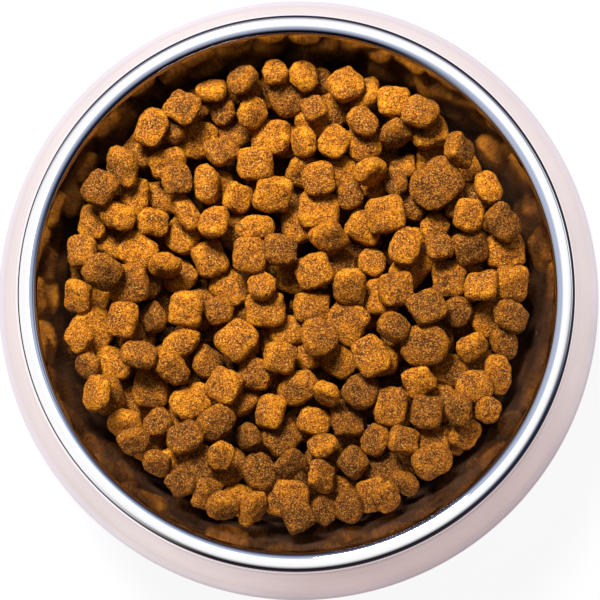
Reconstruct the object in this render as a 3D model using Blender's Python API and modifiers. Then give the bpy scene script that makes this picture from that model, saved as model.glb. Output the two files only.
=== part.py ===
"""A filled pet food bowl: a pressed steel bowl in a flared steel skirt, on a rubber ring,
with a heap of dry kibble in it.

Lengths are in millimetres until they reach Blender. The bowl's axis is +Z, the ring stands
on Z = 0, and the origin is on the axis.
"""
import math

import bpy
import numpy as np
from mathutils import Matrix, Vector
from mathutils.bvhtree import BVHTree

MM = 0.001
CLEARANCE = 0.3
QUARTER_TURN = math.pi / 2
TURN_STEPS = 48

# Bowl
BOWL_HEIGHT = 55.0
RIM_RADIUS = 85.0
RIM_WIDTH = 5.5
RIM_LIP = 1.6
BOWL_SHEET = 0.8
FLOOR_HEIGHT = 7.5
CORNER_RADIUS = 15.0
CORNER_STEPS = 4
BEAD_STEPS = 5
WALL_SLOPE = math.radians(79.0)

# Skirt
SKIRT_SHEET = 0.7
SKIRT_TUCK = 2.0
SKIRT_FLARE = 12.0
SKIRT_BULGE = 1.2
FLARE_STEPS = 3
HEM_STEP = 2.6
HEM_HEIGHT = 5.0
HEM_LIFT = 1.0

# Base ring
RING_WIDTH = 6.0
RING_BEVEL = 0.8

# Kibble
KIBBLE_LENGTH = 11.6
KIBBLE_BREADTH = 10.6
KIBBLE_THICKNESS = 6.4
KIBBLE_SPREAD = 0.1
WALL_GAP = 1.0
KIBBLE_SIDES = 8
BED_DEPTH = 13.5
BED_SHOULDER = 6.0
BED_EDGE_STEPS = 4
BED_STEPS = TURN_STEPS // 2
POUR_SEED = 7
GOLDEN_ANGLE = math.pi * (3.0 - math.sqrt(5.0))
USUAL_LEAN = 0.22
TIPPED_SHARE = 0.14
TIPPED_LEAN = 5.0
SLOPE_FOLLOWED = 0.7
STEEPEST_LIE = 0.45
MAP_CELL = 0.8
# Layers of fused kibble: the share of the field that the pieces' outlines add up to, how deep
# each sinks into what carries it, how far it strays from the spiral, the spiral's first angle,
# and how high above the floor the field is measured.
LAYERS = (
    (0.86, 3.4, 0.9, 0.0, 14.0),
    (0.42, 0.6, 1.8, 2.0, 21.0),
)
LETTINGS_DOWN = 5
SURE_BITE = 0.6
SETTLING = 0.4
LEVELS_COARSE = ((0.78, -1.0), (1.05, 0.0), (0.78, 1.0))
LEVELS_FINE = ((0.45, -1.0), (0.8, -0.86), (1.0, -0.3), (1.0, 0.3), (0.8, 0.86), (0.45, 1.0))

# Kibbles on top of the heap, each with its place across and up as shares of the inside
# radius at the rim, its length and breadth, the turn of its length in degrees, and how
# square it is: 2 is an oval, 4 a square pillow.
TOP_KIBBLES = (
    (-0.39, 0.61, 13.0, 11.4, 10, 2.6),
    (-0.04, 0.78, 13.2, 10.6, 112, 2.2),
    (-0.32, 0.82, 11.2, 8.0, 22, 2.2),
    (-0.63, 0.58, 10.8, 9.6, -30, 3.4),
    (-0.49, 0.66, 12.2, 8.8, 115, 2.2),
    (-0.10, 0.62, 12.0, 10.8, -5, 4.0),
    (-0.50, 0.51, 11.0, 9.0, 15, 3.2),
    (-0.35, 0.43, 12.6, 7.8, 95, 2.2),
    (-0.63, 0.38, 12.4, 8.4, 75, 2.2),
    (-0.16, 0.51, 11.0, 10.2, 4, 3.8),
    (-0.09, 0.39, 11.4, 10.6, -8, 4.2),
    (-0.84, 0.30, 10.4, 8.8, 80, 3.6),
    (-0.69, 0.30, 12.0, 8.2, -22, 2.2),
    (-0.62, 0.17, 11.4, 10.4, -32, 3.6),
    (-0.65, 0.04, 13.0, 12.0, 6, 4.0),
    (-0.43, 0.32, 12.0, 7.4, -58, 2.2),
    (-0.16, 0.26, 12.0, 7.4, 8, 2.2),
    (-0.18, 0.15, 10.8, 10.0, 88, 3.6),
    (0.45, 0.70, 12.2, 11.2, 25, 4.0),
    (0.27, 0.60, 12.2, 10.2, 95, 2.8),
    (0.55, 0.43, 16.4, 14.2, 40, 2.6),
    (0.09, 0.33, 12.2, 11.4, -6, 4.2),
    (0.35, 0.31, 12.2, 11.2, 12, 3.8),
    (0.72, 0.54, 10.8, 7.2, -60, 2.2),
    (0.76, 0.42, 11.0, 7.6, -70, 2.2),
    (0.82, 0.17, 11.6, 10.6, 8, 4.0),
    (0.84, 0.04, 11.0, 10.2, 84, 3.8),
    (0.43, 0.19, 12.2, 9.4, 70, 2.8),
    (0.60, 0.06, 11.0, 10.2, 86, 4.0),
    (0.07, 0.09, 11.4, 10.4, 16, 3.6),
    (0.39, 0.02, 10.8, 10.0, 12, 3.8),
    (-0.82, -0.14, 14.8, 13.4, 60, 2.4),
    (-0.72, -0.27, 11.2, 10.2, -4, 4.0),
    (-0.45, -0.19, 12.8, 8.6, 36, 2.0),
    (-0.43, -0.06, 11.0, 10.2, 84, 3.8),
    (-0.12, -0.06, 11.8, 10.6, 2, 4.2),
    (-0.23, -0.18, 12.0, 11.2, 45, 3.6),
    (-0.57, -0.37, 11.6, 10.4, 84, 3.8),
    (-0.48, -0.29, 12.0, 8.2, -40, 2.2),
    (-0.41, -0.42, 12.8, 10.2, 25, 2.6),
    (-0.31, -0.50, 12.0, 9.8, 40, 2.6),
    (-0.16, -0.31, 11.4, 9.8, -15, 2.6),
    (-0.39, -0.68, 14.6, 11.4, 82, 2.4),
    (-0.24, -0.86, 12.4, 9.4, -15, 2.2),
    (-0.04, -0.79, 14.4, 11.4, 5, 2.4),
    (0.20, -0.11, 13.4, 12.4, 60, 3.4),
    (0.50, -0.20, 14.8, 12.8, 4, 2.4),
    (0.29, -0.24, 12.6, 10.4, -62, 3.0),
    (0.37, -0.44, 11.8, 10.0, 84, 3.2),
    (0.57, -0.43, 12.0, 11.0, 30, 2.6),
    (0.53, -0.58, 11.0, 10.0, 4, 3.8),
    (0.57, -0.70, 12.4, 10.0, 30, 2.4),
    (0.18, -0.82, 12.8, 11.8, 75, 2.8),
    (0.81, -0.19, 11.0, 7.8, -64, 2.2),
    (0.83, -0.33, 12.2, 8.0, -86, 2.2),
)


def clear_scene():
    for thing in list(bpy.data.objects):
        bpy.data.objects.remove(thing)


def new_collection(name):
    collection = bpy.data.collections.new(name)
    bpy.context.scene.collection.children.link(collection)
    return collection


def finish(name, colour, roughness, metallic):
    material = bpy.data.materials.new(name)
    material.use_nodes = True
    shader = material.node_tree.nodes["Principled BSDF"]
    shader.inputs["Base Color"].default_value = (*colour, 1.0)
    shader.inputs["Roughness"].default_value = roughness
    shader.inputs["Metallic"].default_value = metallic
    return material


def add_object(name, mesh, collection, material):
    thing = bpy.data.objects.new(name, mesh)
    collection.objects.link(thing)
    thing.data.materials.append(material)
    return thing


def arc(centre, radius, start, end, steps):
    """Points on a circle in the profile's plane, both ends included."""
    points = []
    for i in range(steps + 1):
        angle = start + (end - start) * i / steps
        points.append((centre[0] + radius * math.cos(angle), centre[1] + radius * math.sin(angle)))
    return points


def turned(name, profile, closed, steps, collection, material):
    """A profile of (radius, height) points turned once round the bowl's axis."""
    mesh = bpy.data.meshes.new(name)
    edges = [(i, i + 1) for i in range(len(profile) - 1)]
    if closed:
        edges.append((len(profile) - 1, 0))
    mesh.from_pydata([(r * MM, 0.0, z * MM) for r, z in profile], edges, [])
    thing = add_object(name, mesh, collection, material)
    screw = thing.modifiers.new("Turn", "SCREW")
    screw.steps = steps
    screw.render_steps = steps
    screw.use_merge_vertices = True
    screw.merge_threshold = 1e-6
    screw.use_smooth_shade = True
    return thing


def thicken(thing, sheet):
    """Give a turned sheet its thickness, away from the side that its faces look to."""
    wall = thing.modifiers.new("Sheet", "SOLIDIFY")
    wall.thickness = sheet * MM
    wall.offset = -1.0
    wall.use_even_offset = True


# The bowl's inner face. Its wall is a straight line that meets the rolled bead and the
# corner without a break, so both centres follow from the slope.
def wall_normal():
    return (-math.sin(WALL_SLOPE), math.cos(WALL_SLOPE))


def bead_centre():
    return (RIM_RADIUS - RIM_WIDTH / 2, BOWL_HEIGHT - RIM_WIDTH / 2)


def wall_top():
    centre = bead_centre()
    normal = wall_normal()
    return (centre[0] + normal[0] * RIM_WIDTH / 2, centre[1] + normal[1] * RIM_WIDTH / 2)


def corner_centre():
    """Centre of the corner's arc, which touches both the wall and the floor."""
    top = wall_top()
    normal = wall_normal()
    height = FLOOR_HEIGHT + CORNER_RADIUS
    run = (height - top[1] - normal[1] * CORNER_RADIUS) / math.tan(WALL_SLOPE)
    return (top[0] + run + normal[0] * CORNER_RADIUS, height)


def inside_radius(height):
    """Radius of the bowl's inner face at a height."""
    centre = corner_centre()
    wall_foot = centre[1] - CORNER_RADIUS * wall_normal()[1]
    if height >= wall_foot:
        top = wall_top()
        return top[0] - (top[1] - height) / math.tan(WALL_SLOPE)
    drop = min(centre[1] - height, CORNER_RADIUS)
    return centre[0] + math.sqrt(CORNER_RADIUS ** 2 - drop ** 2)


def corner_arc(radius):
    return arc(corner_centre(), radius, -QUARTER_TURN, WALL_SLOPE - QUARTER_TURN, CORNER_STEPS)


def bowl_profile():
    floor_centre = (0.0, FLOOR_HEIGHT)
    corner = corner_arc(CORNER_RADIUS)
    bead = arc(bead_centre(), RIM_WIDTH / 2, WALL_SLOPE + QUARTER_TURN, 0.0, BEAD_STEPS)
    lip = (RIM_RADIUS, BOWL_HEIGHT - RIM_WIDTH / 2 - RIM_LIP)
    return [floor_centre, *corner, *bead, lip]


def foot_radius():
    """Radius at which the skirt meets its hem."""
    return RIM_RADIUS + SKIRT_FLARE


def skirt_profile():
    """The skirt's outer face, from the edge in the bead down to the hem."""
    neck_radius = RIM_RADIUS - BOWL_SHEET - CLEARANCE
    neck_height = BOWL_HEIGHT - RIM_WIDTH / 2 - RIM_LIP
    points = [(neck_radius, neck_height + SKIRT_TUCK)]
    for i in range(FLARE_STEPS + 1):
        share = i / FLARE_STEPS
        bulge = SKIRT_BULGE * math.sin(math.pi * share)
        radius = neck_radius + (foot_radius() - neck_radius) * share - bulge
        points.append((radius, neck_height + (HEM_HEIGHT - neck_height) * share))
    hem_radius = foot_radius() + HEM_STEP
    points.append((hem_radius, HEM_HEIGHT - HEM_STEP))
    points.append((hem_radius, HEM_LIFT))
    return points


def ring_profile():
    """The rubber ring's section, which fills the hem and stands out below it."""
    outer = foot_radius() + HEM_STEP - SKIRT_SHEET - CLEARANCE
    inner = outer - RING_WIDTH
    shoulder = outer - HEM_STEP
    top = HEM_HEIGHT - SKIRT_SHEET - CLEARANCE
    return [
        (shoulder, top),
        (outer, top - HEM_STEP),
        (outer, RING_BEVEL),
        (outer - RING_BEVEL, 0.0),
        (inner + RING_BEVEL, 0.0),
        (inner, RING_BEVEL),
        (inner, top),
    ]


def bed_side():
    """The bed's side, a clearance inside the bowl's corner, from the floor to its edge."""
    return corner_arc(CORNER_RADIUS - CLEARANCE)[:BED_EDGE_STEPS + 1]


def bed_height(radius):
    """Top of the bed that the loose kibble lies on: flat, and rounded off at its edge."""
    edge_radius, edge_height = bed_side()[-1]
    share = (radius - edge_radius + BED_SHOULDER) / BED_SHOULDER
    share = min(max(share, 0.0), 1.0)
    rise = FLOOR_HEIGHT + BED_DEPTH - edge_height
    return edge_height + rise * math.sqrt(1.0 - share * share)


def bed_profile():
    side = bed_side()
    points = [(0.0, bed_height(0.0))]
    for share in (0.0, 0.5, 0.85):
        radius = side[-1][0] + BED_SHOULDER * (share - 1.0)
        points.append((radius, bed_height(radius)))
    return [*points, *reversed(side), (0.0, side[0][1])]


# Kibble
def outline_radius(angle, squareness):
    """Radius of a unit superellipse."""
    across = abs(math.cos(angle)) ** squareness
    along = abs(math.sin(angle)) ** squareness
    return (across + along) ** (-1.0 / squareness)


def kibble_points(size, squareness, levels, around):
    """Rings of points on a puffed pillow that is centred on the origin."""
    points = []
    for spread, height in levels:
        for i in range(around):
            angle = 2 * math.pi * (i + 0.5) / around
            radius = outline_radius(angle, squareness) * spread
            points.append((
                size[0] / 2 * radius * math.cos(angle),
                size[1] / 2 * radius * math.sin(angle),
                size[2] / 2 * height,
            ))
    return np.array(points)


def kibble_faces(rings, around):
    """Faces of a kibble: a cap at each end and bands of quads between its rings."""
    faces = [tuple(reversed(range(around)))]
    for ring in range(rings - 1):
        for i in range(around):
            j = (i + 1) % around
            low = ring * around
            high = low + around
            faces.append((low + i, low + j, high + j, high + i))
    faces.append(tuple((rings - 1) * around + i for i in range(around)))
    return faces


KIBBLE_FACES = kibble_faces(len(LEVELS_COARSE), KIBBLE_SIDES)


def lie_on(slope, spin, lean):
    """Turn a flat kibble to lie on sloping ground, with a lean of its own."""
    steepness = max(math.hypot(*slope), 1e-9)
    share = min(SLOPE_FOLLOWED, STEEPEST_LIE / steepness)
    up = Vector((lean[0] - slope[0] * share, lean[1] - slope[1] * share, 1.0)).normalized()
    tilt = Vector((0.0, 0.0, 1.0)).rotation_difference(up)
    return np.array(tilt.to_matrix() @ Matrix.Rotation(spin, 3, "Z"))


class Kibble:
    """One puffed piece: its size, how square it is, how it is turned and where its middle is."""

    def __init__(self, size, squareness, turn):
        self.size = size
        self.squareness = squareness
        self.turn = turn
        self.place = np.zeros(3)

    def points(self, levels, around):
        return kibble_points(self.size, self.squareness, levels, around) @ self.turn.T + self.place

    def corners(self):
        return self.points(LEVELS_COARSE, KIBBLE_SIDES)

    def mesh(self, name):
        mesh = bpy.data.meshes.new(name)
        mesh.from_pydata([tuple(p * MM) for p in self.corners()], [], KIBBLE_FACES)
        return mesh


class Heap:
    """The kibble laid so far: its pieces, and a map of the heap's height for choosing places."""

    def __init__(self):
        self.reach = inside_radius(BOWL_HEIGHT)
        self.bed_edge = bed_side()[-1][0]
        self.count = int(2 * self.reach / MAP_CELL) + 1
        self.pieces = []
        self.ground = np.zeros((self.count, self.count))
        for row in range(self.count):
            for column in range(self.count):
                radius = math.hypot(row * MAP_CELL - self.reach, column * MAP_CELL - self.reach)
                self.ground[row, column] = bed_height(radius)

    def cells(self, across, up):
        columns = np.rint((across + self.reach) / MAP_CELL).astype(int)
        rows = np.rint((up + self.reach) / MAP_CELL).astype(int)
        return np.clip(rows, 0, self.count - 1), np.clip(columns, 0, self.count - 1)

    def ground_under(self, x, y, radius):
        """Mean height and slope of the ground under a kibble."""
        angles = np.linspace(0.0, 2 * math.pi, 12, endpoint=False)
        across = np.concatenate(([0.0], np.cos(angles), 0.5 * np.cos(angles))) * radius
        up = np.concatenate(([0.0], np.sin(angles), 0.5 * np.sin(angles))) * radius
        heights = self.ground[self.cells(across + x, up + y)]
        spread = (across ** 2).sum()
        slope = ((across * heights).sum() / spread, (up * heights).sum() / spread)
        return heights.mean(), slope

    def drop(self, kibble):
        """How far a kibble can fall before it touches the pieces or the bed below it."""
        samples = edge_samples(kibble.corners())
        tree = kibble_tree(kibble.corners())
        gap = math.inf
        for point in samples:
            radius = math.hypot(point[0], point[1])
            if radius < self.bed_edge:
                gap = min(gap, point[2] - bed_height(radius))
        reach = max(kibble.size) / 2 * math.sqrt(2.0)
        for centre, other_reach, other_samples, other_tree in self.pieces:
            if np.hypot(*(kibble.place[:2] - centre[:2])) > reach + other_reach:
                continue
            gap = min(gap, least_gap(samples, other_tree, -1.0), least_gap(other_samples, tree, 1.0))
        return gap

    def bites(self, kibble):
        """Whether a kibble cuts into the bed or into a piece that is laid."""
        corners = kibble.corners()
        for x, y, z in corners:
            radius = math.hypot(x, y)
            if radius < self.bed_edge and z < bed_height(radius) - SURE_BITE:
                return True
        tree = kibble_tree(corners)
        return any(tree.overlap(other_tree) for _, _, _, other_tree in self.pieces)

    def lay(self, kibble, x, y, gap):
        """Let a kibble down at a place, off the wall, and stop it a gap above what it meets.

        A gap below zero is how deep a fused kibble sinks into what carries it.
        """
        kibble.place = np.array((x, y, self.ground_under(x, y, KIBBLE_BREADTH / 2)[0]))
        for _ in range(LETTINGS_DOWN):
            kibble.place += push_off_wall(kibble.points(LEVELS_FINE, 2 * KIBBLE_SIDES))
            kibble.place[2] = BOWL_HEIGHT + KIBBLE_LENGTH
            kibble.place[2] -= self.drop(kibble) - gap
        while gap < 0 and not self.bites(kibble):
            kibble.place[2] -= SETTLING
        points = kibble.points(LEVELS_FINE, 2 * KIBBLE_SIDES)
        rows, columns = self.cells(points[:, 0], points[:, 1])
        np.maximum.at(self.ground, (rows, columns), points[:, 2])
        reach = max(kibble.size) / 2 * math.sqrt(2.0)
        corners = kibble.corners()
        self.pieces.append((kibble.place, reach, edge_samples(corners), kibble_tree(corners)))


def kibble_tree(corners):
    return BVHTree.FromPolygons([tuple(c) for c in corners], KIBBLE_FACES)


def edge_samples(corners):
    """A kibble's corners, and three points along each edge of its faces."""
    samples = list(corners)
    for face in KIBBLE_FACES:
        for i, j in zip(face, (*face[1:], face[0])):
            for share in (0.25, 0.5, 0.75):
                samples.append(corners[i] + (corners[j] - corners[i]) * share)
    return samples


def least_gap(samples, tree, direction):
    """Smallest upright distance from these points to a piece above or below them."""
    gap = math.inf
    for point in samples:
        hit = tree.ray_cast(Vector(point), Vector((0.0, 0.0, direction)))[0]
        if hit:
            gap = min(gap, abs(hit.z - point[2]))
    return gap


def push_off_wall(points):
    """How to move points towards the axis to bring them off the bowl's wall."""
    shift = np.zeros(3)
    for _ in range(3):
        placed = points + shift
        radii = np.hypot(placed[:, 0], placed[:, 1])
        limits = np.array([inside_radius(z) for z in placed[:, 2]]) - WALL_GAP
        worst = int(np.argmax(radii - limits))
        excess = radii[worst] - limits[worst]
        if excess > 0:
            shift[:2] -= placed[worst, :2] / radii[worst] * excess
    return shift


def pour_kibble(heap):
    """Lay the fused kibble in layers, each spread evenly over the bed on a sunflower's spiral."""
    draw = np.random.default_rng(POUR_SEED)
    usual = np.array((KIBBLE_LENGTH, KIBBLE_BREADTH, KIBBLE_THICKNESS))
    poured = []
    for cover, sink, stray, start, level in LAYERS:
        field = inside_radius(FLOOR_HEIGHT + level) - WALL_GAP - KIBBLE_BREADTH / 2
        count = round(cover * math.pi * field ** 2 / (KIBBLE_LENGTH * KIBBLE_BREADTH))
        for number in range(count):
            size = usual * (1.0 + KIBBLE_SPREAD * draw.uniform(-1.0, 1.0, 3))
            squareness = draw.choice((2.2, 3.0, 4.0))
            radius = field * math.sqrt((number + 0.5) / count)
            angle = start + number * GOLDEN_ANGLE
            x, y = draw.normal((radius * math.cos(angle), radius * math.sin(angle)), stray)
            lean = draw.normal(0.0, USUAL_LEAN, 2)
            if draw.random() < TIPPED_SHARE:
                lean = lean * TIPPED_LEAN
            slope = heap.ground_under(x, y, KIBBLE_BREADTH / 2)[1]
            turn = lie_on(slope, draw.uniform(0.0, 2 * math.pi), lean)
            kibble = Kibble(size, squareness, turn)
            heap.lay(kibble, x, y, -sink)
            poured.append(kibble)
    return poured


def build_bed(heap, collection, cutters, material):
    """The bed of kibble: its lower mass, and the loose pieces that lie in it, as one solid."""
    bed = turned("kibble_bed", bed_profile(), False, BED_STEPS, collection, material)
    for number, kibble in enumerate(pour_kibble(heap)):
        name = f"poured_{number:03d}"
        piece = add_object(name, kibble.mesh(name), cutters, material)
        piece.hide_render = True
        piece.display_type = "WIRE"
    union = bed.modifiers.new("Poured kibble", "BOOLEAN")
    union.operation = "UNION"
    union.operand_type = "COLLECTION"
    union.collection = cutters


def lay_top_kibble(heap, collection, material):
    """Lay the listed kibbles on the heap, each a clearance above what carries it."""
    for number, (across, up, length, breadth, spin, squareness) in enumerate(TOP_KIBBLES, 1):
        x = across * heap.reach
        y = up * heap.reach
        slope = heap.ground_under(x, y, KIBBLE_BREADTH / 2)[1]
        turn = lie_on(slope, math.radians(spin), (0.0, 0.0))
        kibble = Kibble(np.array((length, breadth, KIBBLE_THICKNESS)), squareness, turn)
        heap.lay(kibble, x, y, CLEARANCE)
        name = f"kibble_{number:02d}"
        add_object(name, kibble.mesh(name), collection, material)


def main():
    clear_scene()
    parts = new_collection("filled_pet_food_bowl")
    cutters = new_collection("cutters")
    mirror_steel = finish("mirror steel", (0.82, 0.81, 0.82), 0.08, 1.0)
    satin_steel = finish("satin steel", (0.78, 0.72, 0.71), 0.35, 1.0)
    rubber = finish("rubber", (0.02, 0.02, 0.02), 0.7, 0.0)
    kibble = finish("kibble", (0.45, 0.2, 0.05), 0.75, 0.0)

    bowl = turned("bowl", bowl_profile(), False, TURN_STEPS, parts, mirror_steel)
    thicken(bowl, BOWL_SHEET)
    skirt = turned("skirt", skirt_profile(), False, TURN_STEPS, parts, satin_steel)
    thicken(skirt, SKIRT_SHEET)
    turned("base_ring", ring_profile(), True, TURN_STEPS, parts, rubber)

    heap = Heap()
    build_bed(heap, parts, cutters, kibble)
    lay_top_kibble(heap, parts, kibble)


main()
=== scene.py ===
"""The looks of a filled pet food bowl: mirror-bright pressed bowl, satin skirt, rubber ring and a
heap of baked kibble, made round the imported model.

Sizes are in millimetres until they reach Blender. The bowl's axis is +Z and it stands on Z = 0.
The kibble is let down piece by piece as in the model, so that each piece lies where its solid is.
"""

import math

import bpy
import numpy as np
from mathutils import Matrix, Vector
from mathutils.bvhtree import BVHTree


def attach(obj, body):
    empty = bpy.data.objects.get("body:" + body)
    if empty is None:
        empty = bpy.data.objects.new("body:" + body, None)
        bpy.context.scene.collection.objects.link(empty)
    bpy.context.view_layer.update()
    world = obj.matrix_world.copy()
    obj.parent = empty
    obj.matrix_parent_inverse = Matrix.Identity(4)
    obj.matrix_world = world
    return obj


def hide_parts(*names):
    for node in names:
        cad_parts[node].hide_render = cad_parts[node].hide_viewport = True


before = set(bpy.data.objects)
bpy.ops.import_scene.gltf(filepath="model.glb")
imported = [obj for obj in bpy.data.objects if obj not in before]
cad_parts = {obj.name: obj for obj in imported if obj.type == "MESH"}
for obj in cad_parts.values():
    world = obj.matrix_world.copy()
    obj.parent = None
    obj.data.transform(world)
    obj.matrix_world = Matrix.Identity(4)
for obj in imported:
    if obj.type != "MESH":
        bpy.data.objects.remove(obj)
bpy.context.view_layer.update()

MM = 0.001
CLEARANCE = 0.3
QUARTER_TURN = math.pi / 2
TURN_STEPS = 240
SHARP_ANGLE = math.radians(40.0)
SAME_PLACE = 1e-6

# Bowl
BOWL_HEIGHT = 55.0
RIM_RADIUS = 85.0
RIM_WIDTH = 5.5
RIM_LIP = 1.6
BOWL_SHEET = 0.8
FLOOR_HEIGHT = 7.5
CORNER_RADIUS = 15.0
CORNER_STEPS = 4
WALL_SLOPE = math.radians(79.0)
FINE_CORNER_STEPS = 20
FINE_BEAD_STEPS = 14
BEAD_INSIDE = 3.6
BEAD_OUTSIDE = 3.3
BEAD_SWELL = 0.3
BEAD_CREST = RIM_RADIUS + BEAD_SWELL - BEAD_OUTSIDE

# Skirt
SKIRT_SHEET = 0.7
SKIRT_TUCK = 2.0
SKIRT_FLARE = 12.0
SKIRT_BULGE = 1.2
HEM_STEP = 2.6
HEM_HEIGHT = 5.0
HEM_LIFT = 1.0
FLARE_STEPS = 24
HEM_ROUNDING = 0.9
HEM_ROUNDING_STEPS = 6

# Base ring
RING_WIDTH = 6.0
RING_BEVEL = 0.8

# Kibble
KIBBLE_LENGTH = 11.6
KIBBLE_BREADTH = 10.6
KIBBLE_THICKNESS = 6.4
KIBBLE_SPREAD = 0.1
USUAL_KIBBLE = np.array((KIBBLE_LENGTH, KIBBLE_BREADTH, KIBBLE_THICKNESS))
OVAL = 2.0
SQUARENESSES = (2.2, 3.0, 4.0)
WALL_GAP = 1.0
KIBBLE_SIDES = 8
# The bed, a flat mound with a rounded edge, and how the pieces come to lie on it
BED_DEPTH = 13.5
BED_SHOULDER = 6.0
BED_EDGE_STEPS = 4
POUR_SEED = 7
GOLDEN_ANGLE = math.pi * (3.0 - math.sqrt(5.0))
USUAL_LEAN = 0.22
TIPPED_SHARE = 0.14
TIPPED_LEAN = 5.0
SLOPE_FOLLOWED = 0.7
STEEPEST_LIE = 0.45
MAP_CELL = 0.8
# Layers of fused kibble: the share of the field that the pieces' outlines add up to, how deep
# each sinks into what carries it, how far it strays from the spiral, the spiral's first angle,
# and how high above the floor the field is measured.
LAYERS = (
    (0.86, 3.4, 0.9, 0.0, 14.0),
    (0.42, 0.6, 1.8, 2.0, 21.0),
)
LETTINGS_DOWN = 5
PUSHES = 3
FEELERS = 12
EDGE_SHARES = (0.25, 0.5, 0.75)
SURE_BITE = 0.6
SETTLING = 0.4
# Rings of a kibble's form, from its underside up: the share of its outline that each has, and
# its height as a share of half the thickness.
LEVELS_COARSE = ((0.78, -1.0), (1.05, 0.0), (0.78, 1.0))
LEVELS_FINE = ((0.45, -1.0), (0.8, -0.86), (1.0, -0.3), (1.0, 0.3), (0.8, 0.86), (0.45, 1.0))

# Kibbles on top of the heap, each with its place across and up as shares of the inside
# radius at the rim, its length and breadth, the turn of its length in degrees, and how
# square it is: 2 is an oval, 4 a square pillow.
TOP_KIBBLES = (
    (-0.39, 0.61, 13.0, 11.4, 10, 2.6),
    (-0.04, 0.78, 13.2, 10.6, 112, 2.2),
    (-0.32, 0.82, 11.2, 8.0, 22, 2.2),
    (-0.63, 0.58, 10.8, 9.6, -30, 3.4),
    (-0.49, 0.66, 12.2, 8.8, 115, 2.2),
    (-0.10, 0.62, 12.0, 10.8, -5, 4.0),
    (-0.50, 0.51, 11.0, 9.0, 15, 3.2),
    (-0.35, 0.43, 12.6, 7.8, 95, 2.2),
    (-0.63, 0.38, 12.4, 8.4, 75, 2.2),
    (-0.16, 0.51, 11.0, 10.2, 4, 3.8),
    (-0.09, 0.39, 11.4, 10.6, -8, 4.2),
    (-0.84, 0.30, 10.4, 8.8, 80, 3.6),
    (-0.69, 0.30, 12.0, 8.2, -22, 2.2),
    (-0.62, 0.17, 11.4, 10.4, -32, 3.6),
    (-0.65, 0.04, 13.0, 12.0, 6, 4.0),
    (-0.43, 0.32, 12.0, 7.4, -58, 2.2),
    (-0.16, 0.26, 12.0, 7.4, 8, 2.2),
    (-0.18, 0.15, 10.8, 10.0, 88, 3.6),
    (0.45, 0.70, 12.2, 11.2, 25, 4.0),
    (0.27, 0.60, 12.2, 10.2, 95, 2.8),
    (0.55, 0.43, 16.4, 14.2, 40, 2.6),
    (0.09, 0.33, 12.2, 11.4, -6, 4.2),
    (0.35, 0.31, 12.2, 11.2, 12, 3.8),
    (0.72, 0.54, 10.8, 7.2, -60, 2.2),
    (0.76, 0.42, 11.0, 7.6, -70, 2.2),
    (0.82, 0.17, 11.6, 10.6, 8, 4.0),
    (0.84, 0.04, 11.0, 10.2, 84, 3.8),
    (0.43, 0.19, 12.2, 9.4, 70, 2.8),
    (0.60, 0.06, 11.0, 10.2, 86, 4.0),
    (0.07, 0.09, 11.4, 10.4, 16, 3.6),
    (0.39, 0.02, 10.8, 10.0, 12, 3.8),
    (-0.82, -0.14, 14.8, 13.4, 60, 2.4),
    (-0.72, -0.27, 11.2, 10.2, -4, 4.0),
    (-0.45, -0.19, 12.8, 8.6, 36, 2.0),
    (-0.43, -0.06, 11.0, 10.2, 84, 3.8),
    (-0.12, -0.06, 11.8, 10.6, 2, 4.2),
    (-0.23, -0.18, 12.0, 11.2, 45, 3.6),
    (-0.57, -0.37, 11.6, 10.4, 84, 3.8),
    (-0.48, -0.29, 12.0, 8.2, -40, 2.2),
    (-0.41, -0.42, 12.8, 10.2, 25, 2.6),
    (-0.31, -0.50, 12.0, 9.8, 40, 2.6),
    (-0.16, -0.31, 11.4, 9.8, -15, 2.6),
    (-0.39, -0.68, 14.6, 11.4, 82, 2.4),
    (-0.24, -0.86, 12.4, 9.4, -15, 2.2),
    (-0.04, -0.79, 14.4, 11.4, 5, 2.4),
    (0.20, -0.11, 13.4, 12.4, 60, 3.4),
    (0.50, -0.20, 14.8, 12.8, 4, 2.4),
    (0.29, -0.24, 12.6, 10.4, -62, 3.0),
    (0.37, -0.44, 11.8, 10.0, 84, 3.2),
    (0.57, -0.43, 12.0, 11.0, 30, 2.6),
    (0.53, -0.58, 11.0, 10.0, 4, 3.8),
    (0.57, -0.70, 12.4, 10.0, 30, 2.4),
    (0.18, -0.82, 12.8, 11.8, 75, 2.8),
    (0.81, -0.19, 11.0, 7.8, -64, 2.2),
    (0.83, -0.33, 12.2, 8.0, -86, 2.2),
)


# Small helpers
def linear(colour):
    """An sRGB hex value as linear red, green, blue and alpha."""
    channels = []
    for i in (1, 3, 5):
        value = int(colour[i:i + 2], 16) / 255
        channels.append(value / 12.92 if value <= 0.04045 else ((value + 0.055) / 1.055) ** 2.4)
    return (*channels, 1.0)


def per_metre(size):
    """A texture's scale for a feature of this size in millimetres."""
    return 1.0 / (size * MM)


def node(tree, kind, inputs=None, stops=None, **settings):
    """Add a node, with its settings, its ramp's stops, and its inputs set or linked.

    An input that is given a whole node is linked to the first output which that node has in use.
    """
    made = tree.nodes.new(kind)
    for name, value in settings.items():
        setattr(made, name, value)
    if stops:
        elements = made.color_ramp.elements
        while len(elements) < len(stops):
            elements.new(1.0)
        for element, (place, colour) in zip(elements, stops):
            element.position = place
            element.color = linear(colour)
    for name, value in (inputs or {}).items():
        if isinstance(value, bpy.types.Node):
            value = next(socket for socket in value.outputs if socket.enabled)
        if isinstance(value, bpy.types.NodeSocket):
            tree.links.new(value, made.inputs[name])
        else:
            made.inputs[name].default_value = value
    return made


def grey(value):
    """A neutral colour of this brightness."""
    return (value, value, value, 1.0)


def new_material(name):
    """A material without nodes, and its tree."""
    material = bpy.data.materials.new(name)
    material.use_nodes = True
    material.node_tree.nodes.clear()
    return material, material.node_tree


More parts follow.
